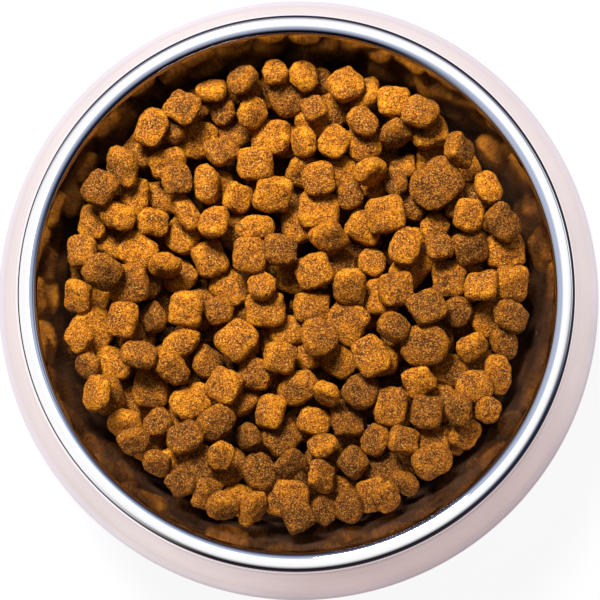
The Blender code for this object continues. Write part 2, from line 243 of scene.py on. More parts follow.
def round_the_axis(tree):
    """The place of a point on a piece, its height, and its radius from the axis."""
    place = node(tree, "ShaderNodeTexCoord").outputs["Object"]
    height = node(tree, "ShaderNodeSeparateXYZ", {"Vector": place}).outputs["Z"]
    flat = node(tree, "ShaderNodeVectorMath", {0: place, 1: (1.0, 1.0, 0.0)},
                operation="MULTIPLY")
    radius = node(tree, "ShaderNodeVectorMath", {0: flat}, operation="LENGTH")
    return place, height, radius


def tinted_in_zones(tree, colour, zones):
    """A colour that turns into another one from the start of each zone to its end."""
    for measure, (start, end), tint in zones:
        share = node(tree, "ShaderNodeMapRange", {
            "Value": measure, "From Min": start * MM, "From Max": end * MM})
        colour = node(tree, "ShaderNodeMix", {
            "Factor": share, "A": colour, "B": linear(tint)}, data_type="RGBA")
    return colour


def scattered_spots(tree, place, spacing, soft_edge, strength, share):
    """Small spots, on this share of the points that lie a spacing apart."""
    points = node(tree, "ShaderNodeTexVoronoi", {
        "Vector": place, "Scale": per_metre(spacing), "Randomness": 1.0})
    spot = node(tree, "ShaderNodeMapRange", {
        "Value": points, "From Min": soft_edge[0], "From Max": soft_edge[1],
        "To Min": strength, "To Max": 0.0})
    lot = node(tree, "ShaderNodeSeparateColor", {"Color": points.outputs["Color"]})
    chosen = node(tree, "ShaderNodeMath", {0: lot, 1: 1.0 - share}, operation="GREATER_THAN")
    return node(tree, "ShaderNodeMath", {0: spot, 1: chosen}, operation="MULTIPLY")


# Where the steel's looks change, with painted shade, painted reflections and a painted highlight
# among them: heights, and radii from the axis
BUFFED_FROM = BOWL_HEIGHT - 4.2
BUFFED_TO = BOWL_HEIGHT - 2.6
DARKENED_REFLECTION_HEIGHTS = (26.0, 50.0)
BLUE_REFLECTION_RADII = (BEAD_CREST - 2.6, BEAD_CREST - 1.9)
HIGHLIGHT_BAND_RADII = (BEAD_CREST - 1.3, BEAD_CREST - 0.7)
DUST_TOP = BOWL_HEIGHT - 3.4
LIGHTENED_HEM_RADII = (RIM_RADIUS + SKIRT_FLARE - 0.5, RIM_RADIUS + SKIRT_FLARE + 1.5)
NECK_SHADE_RADII = (RIM_RADIUS + 3.6, RIM_RADIUS + 1.4)

# Sizes of the finishes' patterns
SMEARS = 14.0
POLISH_GRAIN = 0.8
POLISH_DEPTH = 0.02
DUST_FLECKS = 2.6
SPUN_RINGS = 1.1
RING_DEPTH = 0.04
SATIN_HAZE = 30.0
MOULD_GRAIN = 0.5
MOULD_DEPTH = 0.05
CRUST_PATCHES = 4.5
CRUST_MOTTLE = 1.4
CRUST_GRAIN = 0.48
CRUST_DEPTH = 0.6
MEAL_SPECKS = 1.0
CRUST_PITS = 2.6


# Finishes
def polished_steel():
    """Deep-drawn stainless steel, polished round its axis on a spindle.

    Its bead is buffed bright, with a painted highlight on its crest and a painted blue reflection
    inside it. The wall mirrors the kibble, drawn out upwards by the fine rings that the polishing
    leaves, is painted darker towards the rim, a painted shade, and has a little dust of meal.
    """
    material, tree = new_material("polished stainless steel")
    place, height, radius = round_the_axis(tree)
    # Painted light: the wall is painted darker towards the rim, a painted shade in what it mirrors;
    # the bead has a painted blue reflection inside it and a painted highlight on its crest
    metal = tinted_in_zones(tree, linear("#F4EFEE"), (
        (height, DARKENED_REFLECTION_HEIGHTS, "#A19A9C"),
        (radius, BLUE_REFLECTION_RADII, "#AEB8D2"),
        (radius, HIGHLIGHT_BAND_RADII, "#FBFAFC"),
    ))

    smears = node(tree, "ShaderNodeTexNoise", {
        "Vector": place, "Scale": per_metre(SMEARS), "Detail": 3.0, "Roughness": 0.6})
    smeared = node(tree, "ShaderNodeMapRange", {
        "Value": smears, "From Min": 0.35, "From Max": 0.7, "To Min": 0.09, "To Max": 0.14})
    buffed = node(tree, "ShaderNodeMapRange", {
        "Value": height, "From Min": BUFFED_FROM * MM, "From Max": BUFFED_TO * MM,
        "To Min": 1.0, "To Max": 0.25})
    roughness = node(tree, "ShaderNodeMath", {0: smeared, 1: buffed}, operation="MULTIPLY")

    # The marks of the polishing are too fine to show, so they are drawn this coarse.
    grain = node(tree, "ShaderNodeTexNoise", {
        "Vector": place, "Scale": per_metre(POLISH_GRAIN), "Detail": 2.0})
    relief = node(tree, "ShaderNodeBump", {
        "Height": grain, "Strength": 0.04, "Distance": POLISH_DEPTH * MM})
    steel = node(tree, "ShaderNodeBsdfPrincipled", {
        "Base Color": metal, "Metallic": 1.0, "Roughness": roughness, "Anisotropic": 0.7,
        "Anisotropic Rotation": 0.25, "Normal": relief,
        "Tangent": node(tree, "ShaderNodeTangent", direction_type="RADIAL", axis="Z")})

    # Dust of meal: upright flecks, and a thin film that is uneven as the smears are
    drawn_out = node(tree, "ShaderNodeVectorMath", {0: place, 1: (1.0, 1.0, 0.35)},
                     operation="MULTIPLY")
    flecks = scattered_spots(tree, drawn_out, DUST_FLECKS, (0.05, 0.13), 0.7, 0.1)
    film = node(tree, "ShaderNodeMapRange", {
        "Value": smears, "From Min": 0.38, "From Max": 0.62, "To Min": 0.04, "To Max": 0.14})
    dust = node(tree, "ShaderNodeMath", {0: flecks, 1: film}, operation="ADD")
    below_rim = node(tree, "ShaderNodeMath", {0: height, 1: DUST_TOP * MM},
                     operation="LESS_THAN")
    dusted = node(tree, "ShaderNodeMath", {0: dust, 1: below_rim}, operation="MULTIPLY")
    meal = node(tree, "ShaderNodeBsdfDiffuse", {"Color": linear("#8C6145")})
    surface = node(tree, "ShaderNodeMixShader", {0: dusted, 1: steel, 2: meal})
    node(tree, "ShaderNodeOutputMaterial", {"Surface": surface})
    return material


def satin_steel():
    """Spun stainless steel with a satin finish: soft reflections and faint rings."""
    material, tree = new_material("satin stainless steel")
    place, height, radius = round_the_axis(tree)
    section = node(tree, "ShaderNodeCombineXYZ", {"X": radius, "Y": height})
    # The rings are finer than this on the real one, and are drawn as coarse as they need to show.
    rings = node(tree, "ShaderNodeTexNoise", {
        "Vector": section, "Scale": per_metre(SPUN_RINGS), "Detail": 4.0, "Roughness": 0.65})
    worn = node(tree, "ShaderNodeValToRGB", {"Fac": rings},
                stops=((0.3, "#E9DFDD"), (0.7, "#F3EAE8")))
    # Painted light: the neck under the bead is painted darker, a painted shade, and the hem is
    # painted lighter, a painted reflection
    tint = tinted_in_zones(tree, worn, (
        (radius, LIGHTENED_HEM_RADII, "#F8F3F9"),
        (radius, NECK_SHADE_RADII, "#A9A2AA"),
    ))
    haze = node(tree, "ShaderNodeTexNoise", {
        "Vector": place, "Scale": per_metre(SATIN_HAZE), "Detail": 3.0})
    roughness = node(tree, "ShaderNodeMapRange", {
        "Value": haze, "From Min": 0.3, "From Max": 0.7, "To Min": 0.34, "To Max": 0.42})
    relief = node(tree, "ShaderNodeBump", {
        "Height": rings, "Strength": 0.25, "Distance": RING_DEPTH * MM})
    steel = node(tree, "ShaderNodeBsdfPrincipled", {
        "Base Color": tint, "Metallic": 1.0, "Roughness": roughness, "Normal": relief})
    node(tree, "ShaderNodeOutputMaterial", {"Surface": steel})
    return material


def moulded_rubber():
    """Matt moulded rubber, with the fine grain of its mould."""
    material, tree = new_material("moulded rubber")
    place = node(tree, "ShaderNodeTexCoord").outputs["Object"]
    grain = node(tree, "ShaderNodeTexNoise", {
        "Vector": place, "Scale": per_metre(MOULD_GRAIN), "Detail": 3.0})
    tint = node(tree, "ShaderNodeValToRGB", {"Fac": grain},
                stops=((0.3, "#1C1C1D"), (0.7, "#2B2B2C")))
    relief = node(tree, "ShaderNodeBump", {
        "Height": grain, "Strength": 0.4, "Distance": MOULD_DEPTH * MM})
    rubber = node(tree, "ShaderNodeBsdfPrincipled", {
        "Base Color": tint, "Roughness": 0.75, "Specular IOR Level": 0.35, "Normal": relief})
    node(tree, "ShaderNodeOutputMaterial", {"Surface": rubber})
    return material


def baked_kibble():
    """Extruded and baked kibble: a dry, grainy crust.

    Its flat faces are mottled brown where the knife cut them, its puffed edges are golden, and
    it has pale specks of meal and a few pits, which are painted dark, a painted shade inside them.
    A piece's tone is partly its own and partly painted shade for lying deep in the heap and on the
    near right, and a high tone makes it darker.
    """
    material, tree = new_material("baked kibble")
    place = node(tree, "ShaderNodeTexCoord").outputs["Object"]
    face = node(tree, "ShaderNodeAttribute", attribute_name="face").outputs["Fac"]
    tone = node(tree, "ShaderNodeAttribute", attribute_name="tone").outputs["Fac"]
    patches, mottle, grain = [
        node(tree, "ShaderNodeTexNoise", {
            "Vector": place, "Scale": per_metre(size), "Detail": detail, "Roughness": roughness})
        for size, detail, roughness in (
            (CRUST_PATCHES, 3.0, 0.6), (CRUST_MOTTLE, 3.0, 0.65), (CRUST_GRAIN, 2.0, 0.65))]

    # How brown the crust is baked at each point; the tone added in carries painted shade too
    bake = node(tree, "ShaderNodeMapRange", {
        "Value": mottle, "From Min": 0.33, "From Max": 0.67, "To Min": -0.54, "To Max": -0.02})
    for measure, weight in ((patches, 1.2), (face, 0.2), (tone, 0.36)):
        bake = node(tree, "ShaderNodeMath", {0: measure, 1: weight, 2: bake},
                    operation="MULTIPLY_ADD")
    colour = node(tree, "ShaderNodeValToRGB", {"Fac": bake}, stops=(
        (0.12, "#C47D16"), (0.4, "#A05C0B"), (0.62, "#834811"), (0.84, "#683817"),
        (1.0, "#4A270D")))

    # Burnt and golden grain, and a darkening by tone, which is partly painted shade
    burnt, golden, deep = [
        node(tree, "ShaderNodeMapRange", {
            "Value": value, "From Min": start, "From Max": end, "To Max": most})
        for value, start, end, most in (
            (grain, 0.5, 0.36, 0.76), (grain, 0.51, 0.65, 0.62), (tone, 0.4, 2.0, 0.82))]
    specks = scattered_spots(tree, place, MEAL_SPECKS, (0.14, 0.26), 0.8, 0.07)
    # The pits are painted dark, a painted shade inside them
    pits = scattered_spots(tree, place, CRUST_PITS, (0.06, 0.12), 1.0, 1.0)
    for share, tint in (
        (burnt, "#3C1C06"), (golden, "#D6973A"), (specks, "#C9AE78"), (pits, "#2A1609"),
        (deep, "#1C0C03"),
    ):
        colour = node(tree, "ShaderNodeMix", {
            "Factor": share, "A": colour, "B": linear(tint)}, data_type="RGBA")

    crumb = node(tree, "ShaderNodeMath", {0: mottle, 1: 0.7, 2: grain}, operation="MULTIPLY_ADD")
    dented = node(tree, "ShaderNodeMath", {0: crumb, 1: pits}, operation="SUBTRACT")
    relief = node(tree, "ShaderNodeBump", {
        "Height": dented, "Strength": 1.0, "Distance": CRUST_DEPTH * MM})
    crust = node(tree, "ShaderNodeBsdfPrincipled", {
        "Base Color": colour, "Roughness": 0.7, "Specular IOR Level": 0.05, "Normal": relief})
    node(tree, "ShaderNodeOutputMaterial", {"Surface": crust})
    return material


# Profiles, as points of radius and height
def arc(centre, radius, start, end, steps):
    """Points on a circle in the profile's plane, both ends included."""
    points = []
    for i in range(steps + 1):
        angle = start + (end - start) * i / steps
        points.append((centre[0] + radius * math.cos(angle), centre[1] + radius * math.sin(angle)))
    return points


def wall_normal():
    """The way that the inner face of the bowl's wall looks."""
    return (-math.sin(WALL_SLOPE), math.cos(WALL_SLOPE))


def bead_centre():
    """Centre of the rolled bead's section in the model."""
    return (RIM_RADIUS - RIM_WIDTH / 2, BOWL_HEIGHT - RIM_WIDTH / 2)


def wall_top():
    """Where the wall's inner face meets the bead."""
    centre = bead_centre()
    normal = wall_normal()
    return (centre[0] + normal[0] * RIM_WIDTH / 2, centre[1] + normal[1] * RIM_WIDTH / 2)


def corner_centre():
    """Centre of the corner's arc, which touches both the wall and the floor."""
    top = wall_top()
    normal = wall_normal()
    height = FLOOR_HEIGHT + CORNER_RADIUS
    run = (height - top[1] - normal[1] * CORNER_RADIUS) / math.tan(WALL_SLOPE)
    return (top[0] + run + normal[0] * CORNER_RADIUS, height)


def inside_radius(height):
    """Radius of the bowl's inner face at a height."""
    centre = corner_centre()
    wall_foot = centre[1] - CORNER_RADIUS * wall_normal()[1]
    if height >= wall_foot:
        top = wall_top()
        return top[0] - (top[1] - height) / math.tan(WALL_SLOPE)
    drop = min(centre[1] - height, CORNER_RADIUS)
    return centre[0] + math.sqrt(CORNER_RADIUS ** 2 - drop ** 2)


def corner_arc(radius, steps):
    """The rounded corner between floor and wall, from the floor up."""
    return arc(corner_centre(), radius, -QUARTER_TURN, WALL_SLOPE - QUARTER_TURN, steps)


def bowl_profile():
    """The bowl's inner face, from the middle of its floor over the rolled bead to its lip."""
    corner = corner_arc(CORNER_RADIUS, FINE_CORNER_STEPS)
    inside = arc((BEAD_CREST, BOWL_HEIGHT - BEAD_INSIDE), BEAD_INSIDE, WALL_SLOPE + QUARTER_TURN,
                 QUARTER_TURN, FINE_BEAD_STEPS)
    outside = arc((BEAD_CREST, BOWL_HEIGHT - BEAD_OUTSIDE), BEAD_OUTSIDE, QUARTER_TURN, 0.0,
                  FINE_BEAD_STEPS)
    lip = (RIM_RADIUS + BEAD_SWELL, BOWL_HEIGHT - RIM_WIDTH / 2 - RIM_LIP)
    return [(0.0, FLOOR_HEIGHT), *corner, *inside, *outside[1:], lip]


def foot_radius():
    """Radius at which the skirt meets its hem."""
    return RIM_RADIUS + SKIRT_FLARE


def skirt_profile():
    """The skirt's outer face, from the edge in the bead down to the hem."""
    neck_radius = RIM_RADIUS - BOWL_SHEET - CLEARANCE
    neck_height = BOWL_HEIGHT - RIM_WIDTH / 2 - RIM_LIP
    points = [(neck_radius, neck_height + SKIRT_TUCK)]
    for i in range(FLARE_STEPS + 1):
        share = i / FLARE_STEPS
        bulge = SKIRT_BULGE * math.sin(math.pi * share)
        radius = neck_radius + (foot_radius() - neck_radius) * share - bulge
        points.append((radius, neck_height + (HEM_HEIGHT - neck_height) * share))
    hem_radius = foot_radius() + HEM_STEP
    turn = (hem_radius - HEM_ROUNDING, HEM_HEIGHT - HEM_STEP)
    points.extend(arc(turn, HEM_ROUNDING, QUARTER_TURN / 2, 0.0, HEM_ROUNDING_STEPS))
    points.append((hem_radius, HEM_LIFT))
    return points


def ring_profile():
    """The rubber ring's section, which fills the hem and stands out below it."""
    outer = foot_radius() + HEM_STEP - SKIRT_SHEET - CLEARANCE
    inner = outer - RING_WIDTH
    shoulder = outer - HEM_STEP
    top = HEM_HEIGHT - SKIRT_SHEET - CLEARANCE
    return [
        (shoulder, top),
        (outer, top - HEM_STEP),
        (outer, RING_BEVEL),
        (outer - RING_BEVEL, 0.0),
        (inner + RING_BEVEL, 0.0),
        (inner, RING_BEVEL),
        (inner, top),
    ]


def add_object(name, mesh, material=None):
    """A mesh as an object of the scene, with a material if it has none from its nodes."""
    thing = bpy.data.objects.new(name, mesh)
    bpy.context.scene.collection.objects.link(thing)
    if material:
        thing.data.materials.append(material)
    return thing


def made_plain(thing):
    """A thing with its modifiers applied: a plain mesh at the origin."""
    bpy.context.view_layer.update()
    evaluated = thing.evaluated_get(bpy.context.evaluated_depsgraph_get())
    mesh = bpy.data.meshes.new_from_object(evaluated)
    thing.modifiers.clear()
    thing.data = mesh
    return thing


def turned(name, profile, material, sheet=0.0):
    """A profile turned once round the axis, as a sheet of some thickness or as a solid."""
    mesh = bpy.data.meshes.new(name)
    edges = [(i, i + 1) for i in range(len(profile) - 1)]
    if not sheet:
        edges.append((len(profile) - 1, 0))
    mesh.from_pydata([(r * MM, 0.0, z * MM) for r, z in profile], edges, [])
    thing = add_object(name, mesh, material)
    screw = thing.modifiers.new("Turn", "SCREW")
    screw.steps = TURN_STEPS
    screw.render_steps = TURN_STEPS
    screw.use_merge_vertices = True
    screw.merge_threshold = SAME_PLACE
    if sheet:
        wall = thing.modifiers.new("Sheet", "SOLIDIFY")
        wall.thickness = sheet * MM
        wall.offset = -1.0
        wall.use_even_offset = True
    made_plain(thing)
    thing.data.shade_smooth()
    thing.data.set_sharp_from_angle(angle=SHARP_ANGLE)
    return thing


# The heap, let down as in the model
def bed_side():
    """The bed's side, a clearance inside the bowl's corner, from the floor to its edge."""
    return corner_arc(CORNER_RADIUS - CLEARANCE, CORNER_STEPS)[:BED_EDGE_STEPS + 1]


def bed_height(radius):
    """Top of the bed that the loose kibble lies on: flat, and rounded off at its edge."""
    edge_radius, edge_height = bed_side()[-1]
    share = (radius - edge_radius + BED_SHOULDER) / BED_SHOULDER
    share = min(max(share, 0.0), 1.0)
    rise = FLOOR_HEIGHT + BED_DEPTH - edge_height
    return edge_height + rise * math.sqrt(1.0 - share * share)


def outline_radius(angle, squareness):
    """Radius of a unit superellipse."""
    across = abs(math.cos(angle)) ** squareness
    along = abs(math.sin(angle)) ** squareness
    return (across + along) ** (-1.0 / squareness)


def kibble_points(size, squareness, levels, around):
    """Rings of points on a puffed pillow that is centred on the origin."""
    points = []
    for spread, height in levels:
        for i in range(around):
            angle = 2 * math.pi * (i + 0.5) / around
            radius = outline_radius(angle, squareness) * spread
            points.append((
                size[0] / 2 * radius * math.cos(angle),
                size[1] / 2 * radius * math.sin(angle),
                size[2] / 2 * height,
            ))
    return np.array(points)


def kibble_faces(rings, around):
    """Faces of a kibble: a cap at each end and bands of quads between its rings."""
    faces = [tuple(reversed(range(around)))]
    for ring in range(rings - 1):
        for i in range(around):
            j = (i + 1) % around
            low = ring * around
            high = low + around
            faces.append((low + i, low + j, high + j, high + i))
    faces.append(tuple((rings - 1) * around + i for i in range(around)))
    return faces


KIBBLE_FACES = kibble_faces(len(LEVELS_COARSE), KIBBLE_SIDES)


def lie_on(slope, spin, lean):
    """Turn a flat kibble to lie on sloping ground, with a lean of its own."""
    steepness = max(math.hypot(*slope), 1e-9)
    share = min(SLOPE_FOLLOWED, STEEPEST_LIE / steepness)
    up = Vector((lean[0] - slope[0] * share, lean[1] - slope[1] * share, 1.0)).normalized()
    tilt = Vector((0.0, 0.0, 1.0)).rotation_difference(up)
    return np.array(tilt.to_matrix() @ Matrix.Rotation(spin, 3, "Z"))


class Kibble:
    """One puffed piece: its size, how square it is, how it is turned and where its middle is."""

    def __init__(self, size, squareness, turn):
        self.size = size
        self.squareness = squareness
        self.turn = turn
        self.place = np.zeros(3)

    def points(self, levels, around):
        return kibble_points(self.size, self.squareness, levels, around) @ self.turn.T + self.place

    def corners(self):
        return self.points(LEVELS_COARSE, KIBBLE_SIDES)

    def skin(self):
        return self.points(LEVELS_FINE, 2 * KIBBLE_SIDES)

    def reach(self):
        """How far from its middle a kibble can reach, however it is turned."""
        return max(self.size) / 2 * math.sqrt(2.0)


class Heap:
    """The kibble laid so far: its pieces, and a map of the heap's height for choosing places."""

    def __init__(self):
        self.reach = inside_radius(BOWL_HEIGHT)
        self.bed_edge = bed_side()[-1][0]
        self.count = int(2 * self.reach / MAP_CELL) + 1
        self.pieces = []
        self.ground = np.zeros((self.count, self.count))
        for row in range(self.count):
            for column in range(self.count):
                radius = math.hypot(row * MAP_CELL - self.reach, column * MAP_CELL - self.reach)
                self.ground[row, column] = bed_height(radius)

    def cells(self, across, up):
        """The map's cells at these places."""
        columns = np.rint((across + self.reach) / MAP_CELL).astype(int)
        rows = np.rint((up + self.reach) / MAP_CELL).astype(int)
        return np.clip(rows, 0, self.count - 1), np.clip(columns, 0, self.count - 1)

    def ground_under(self, x, y, radius=KIBBLE_BREADTH / 2):
        """Mean height and slope of the ground under a kibble."""
        angles = np.linspace(0.0, 2 * math.pi, FEELERS, endpoint=False)
        across = np.concatenate(([0.0], np.cos(angles), 0.5 * np.cos(angles))) * radius
        up = np.concatenate(([0.0], np.sin(angles), 0.5 * np.sin(angles))) * radius
        heights = self.ground[self.cells(across + x, up + y)]
        spread = (across ** 2).sum()
        slope = ((across * heights).sum() / spread, (up * heights).sum() / spread)
        return heights.mean(), slope

    def drop(self, kibble):
        """How far a kibble can fall before it touches the pieces or the bed below it."""
        samples = edge_samples(kibble.corners())
        tree = kibble_tree(kibble.corners())
        gap = math.inf
        for point in samples:
            radius = math.hypot(point[0], point[1])
            if radius < self.bed_edge:
                gap = min(gap, point[2] - bed_height(radius))
        reach = kibble.reach()
        for centre, other_reach, other_samples, other_tree in self.pieces:
            if np.hypot(*(kibble.place[:2] - centre[:2])) > reach + other_reach:
                continue
            gap = min(gap, least_gap(samples, other_tree, -1.0),
                      least_gap(other_samples, tree, 1.0))
        return gap

    def bites(self, kibble):
        """Whether a kibble cuts into the bed or into a piece that is laid."""
        corners = kibble.corners()
        for x, y, z in corners:
            radius = math.hypot(x, y)
            if radius < self.bed_edge and z < bed_height(radius) - SURE_BITE:
                return True
        tree = kibble_tree(corners)
        return any(tree.overlap(other_tree) for _, _, _, other_tree in self.pieces)

    def lay(self, kibble, x, y, gap):
        """Let a kibble down at a place, off the wall, and stop it a gap above what it meets.

        A gap below zero is how deep a fused kibble sinks into what carries it.
        """
        kibble.place = np.array((x, y, self.ground_under(x, y)[0]))
        for _ in range(LETTINGS_DOWN):
            kibble.place += push_off_wall(kibble.skin())
            kibble.place[2] = BOWL_HEIGHT + KIBBLE_LENGTH
            kibble.place[2] -= self.drop(kibble) - gap
        while gap < 0 and not self.bites(kibble):
            kibble.place[2] -= SETTLING
        points = kibble.skin()
        rows, columns = self.cells(points[:, 0], points[:, 1])
        np.maximum.at(self.ground, (rows, columns), points[:, 2])
        corners = kibble.corners()
        self.pieces.append(
            (kibble.place, kibble.reach(), edge_samples(corners), kibble_tree(corners)))


def kibble_tree(corners):
    return BVHTree.FromPolygons([tuple(c) for c in corners], KIBBLE_FACES)


def edge_samples(corners):
    """A kibble's corners, and three points along each edge of its faces."""
    samples = list(corners)
    for face in KIBBLE_FACES:
        for i, j in zip(face, (*face[1:], face[0])):
            for share in EDGE_SHARES:
                samples.append(corners[i] + (corners[j] - corners[i]) * share)
    return samples


def least_gap(samples, tree, direction):
    """Smallest upright distance from these points to a piece above or below them."""
    gap = math.inf
    for point in samples:
        hit = tree.ray_cast(Vector(point), Vector((0.0, 0.0, direction)))[0]
        if hit:
            gap = min(gap, abs(hit.z - point[2]))
    return gap


def push_off_wall(points):
    """How to move points towards the axis to bring them off the bowl's wall."""
    shift = np.zeros(3)
    for _ in range(PUSHES):
        placed = points + shift
        radii = np.hypot(placed[:, 0], placed[:, 1])
        limits = np.array([inside_radius(z) for z in placed[:, 2]]) - WALL_GAP
        worst = int(np.argmax(radii - limits))
        excess = radii[worst] - limits[worst]
        if excess > 0:
            shift[:2] -= placed[worst, :2] / radii[worst] * excess
    return shift


def sunflower(height, cover, start):
    """Places on a sunflower's spiral, spread evenly over the field that the bowl has at a height.

    There are as many as it takes for the kibbles' outlines to add up to this share of the field.
    """
    field = inside_radius(height) - WALL_GAP - KIBBLE_BREADTH / 2
    count = round(cover * math.pi * field ** 2 / (KIBBLE_LENGTH * KIBBLE_BREADTH))
    for number in range(count):
        radius = field * math.sqrt((number + 0.5) / count)
        angle = start + number * GOLDEN_ANGLE
        yield radius * math.cos(angle), radius * math.sin(angle)


def pour_kibble(heap):
    """Lay the fused kibble in layers, and give back a list of kibbles for each layer."""
    draw = np.random.default_rng(POUR_SEED)
    layers = []
    for cover, sink, stray, start, level in LAYERS:
        poured = []
        for place in sunflower(FLOOR_HEIGHT + level, cover, start):
            size = USUAL_KIBBLE * (1.0 + KIBBLE_SPREAD * draw.uniform(-1.0, 1.0, 3))
            squareness = draw.choice(SQUARENESSES)
            x, y = draw.normal(place, stray)
            lean = draw.normal(0.0, USUAL_LEAN, 2)
            if draw.random() < TIPPED_SHARE:
                lean = lean * TIPPED_LEAN
            slope = heap.ground_under(x, y)[1]
            turn = lie_on(slope, draw.uniform(0.0, 2 * math.pi), lean)
            kibble = Kibble(size, squareness, turn)
            heap.lay(kibble, x, y, -sink)
            poured.append(kibble)
        layers.append(poured)
    return layers


def lay_top_kibble(heap):
    """Lay the listed kibbles on the heap, each a clearance above what carries it."""
    laid = []
    for across, up, length, breadth, spin, squareness in TOP_KIBBLES:
        x = across * heap.reach
        y = up * heap.reach
        slope = heap.ground_under(x, y)[1]
        turn = lie_on(slope, math.radians(spin), (0.0, 0.0))
        kibble = Kibble(np.array((length, breadth, KIBBLE_THICKNESS)), squareness, turn)
        heap.lay(kibble, x, y, CLEARANCE)
        laid.append(kibble)
    return laid


# The visible kibble: the cuts of its blocks across, along and up, how much it is puffed up past
# the model's, how square and how round it is, and the lumps and dimples of its skin.
FINE_CUTS = (17, 17, 10)
PLAIN_CUTS = (13, 13, 9)
HIDDEN_CUTS = (6, 6, 4)
PUFF = 1.04
CRISPER = 1.1
CUSHION = 2.7
LUMP_SIZE = 5.0
LUMP_HEIGHT = 1.9
DIMPLE_SIZE = 1.9
DIMPLE_HEIGHT = 1.1
FACE_EDGE = (0.72, 0.97)
# Layers of kibble below the ones that the model has: how high above the floor they lie, the
# share of the field that their outlines add up to, and the spiral's first angle.
FILL_SEED = 21
FILL_LEAN = 0.35
FILL_LAYERS = ((3.6, 0.9, 0.5), (9.0, 1.25, 1.3))
# Smaller kibbles, let down into the hollows that are left on top of the heap: their sizes as
# shares of a usual kibble's, how they lean, how far round a place its level is taken, how far
# off the wall they stay, and how much lower the heap counts as there than in its middle.
HOLLOW_SEED = 33
HOLLOW_COUNT = 112
HOLLOW_SIZES = (0.76, 0.98)
HOLLOW_LEAN = 0.32
HOLLOW_TIPPED = (1.0, 1.0, 2.5)
HOLLOW_REACH = 4.0
HOLLOW_EDGE = 4.0
EDGE_FAVOUR = 2.5
EDGE_POWER = 4
# Tones of the kibble, from golden to brown, and how they deepen with painted shade; the lower
# and hidden layers start browner, a painted shade for lying deeper
CRUST_TONES = (0.0, 0.8)
LOWER_TONES = (0.3, 1.1)
UPPER_TONES = (0.0, 0.9)
HOLLOW_TONES = (0.0, 1.0)
HIDDEN_TONES = (0.4, 0.7)
SUNK_REACH = 7.0
SUNK_SHADE = 0.3
LEAST_SUNK = 0.25
WALL_GLOW = 14.0
NEAR_RIGHT_SHADE = 0.3


def hidden_kibble():
    """The lower kibble, which shows between the pieces that lie on it."""
    draw = np.random.default_rng(FILL_SEED)
    laid = []
    for level, cover, start in FILL_LAYERS:
        height = FLOOR_HEIGHT + level
        for x, y in sunflower(height, cover, start):
            lean = draw.normal(0.0, FILL_LEAN, 2)
            turn = lie_on((0.0, 0.0), draw.uniform(0.0, 2 * math.pi), lean)
            kibble = Kibble(USUAL_KIBBLE, draw.choice(SQUARENESSES), turn)
            kibble.place = np.array((x, y, height))
            kibble.place += push_off_wall(kibble.skin())
            kibble.place[2] += max(0.0, FLOOR_HEIGHT + CLEARANCE - kibble.corners()[:, 2].min())
            laid.append(kibble)
    return laid


def fill_hollows(heap):
    """Let further kibbles down where the heap is lowest, near the wall rather than inside."""
    draw = np.random.default_rng(HOLLOW_SEED)
    axis = np.arange(heap.count) * MAP_CELL - heap.reach
    across, up = np.meshgrid(axis, axis)
    field = inside_radius(FLOOR_HEIGHT + BED_DEPTH) - HOLLOW_EDGE
    from_middle = np.hypot(across, up) / field
    spread = int(HOLLOW_REACH / MAP_CELL)
    laid = []
    for _ in range(HOLLOW_COUNT):
        level = heap.ground.copy()
        for axis_number in (0, 1):
            level = sum(np.roll(level, k, axis_number) for k in range(-spread, spread + 1))
            level = level / (2 * spread + 1)
        level -= EDGE_FAVOUR * from_middle ** EDGE_POWER
        level[from_middle > 1.0] = math.inf
        row, column = np.unravel_index(np.argmin(level), level.shape)
        x = across[row, column]
        y = up[row, column]
        size = USUAL_KIBBLE * draw.uniform(*HOLLOW_SIZES)
        size = size * (1.0 + KIBBLE_SPREAD * draw.uniform(-1.0, 1.0, 3))
        slope = heap.ground_under(x, y)[1]
        lean = draw.normal(0.0, HOLLOW_LEAN, 2) * draw.choice(HOLLOW_TIPPED)
        turn = lie_on(slope, draw.uniform(0.0, 2 * math.pi), lean)
        kibble = Kibble(size, draw.choice(SQUARENESSES), turn)
        heap.lay(kibble, x, y, CLEARANCE)
        laid.append(kibble)
    return laid


def tones_with_painted_shade(heap, kibbles, tones):
    """Tones of kibbles, with painted shade: darker the deeper each one lies below the heap round
    it.

    Near the wall, which throws light back, they keep more of their own tone. The kibble on the
    near right is painted darker than the rest, a painted shade where less light falls.
    """
    sunk = []
    for kibble, tone in zip(kibbles, tones):
        level = heap.ground_under(kibble.place[0], kibble.place[1], SUNK_REACH)[0]
        top = kibble.corners()[:, 2].max()
        off_wall = heap.reach - math.hypot(kibble.place[0], kibble.place[1])
        share = min(max((off_wall - WALL_GLOW) / WALL_GLOW, LEAST_SUNK), 1.0)
        # Painted shade: the kibble on the near right is painted darker
        shaded_right = max(0.0, kibble.place[0] - kibble.place[1]) / heap.reach * NEAR_RIGHT_SHADE
        sunk.append(tone + shaded_right + max(0.0, level - top) * SUNK_SHADE * share)
    return sunk


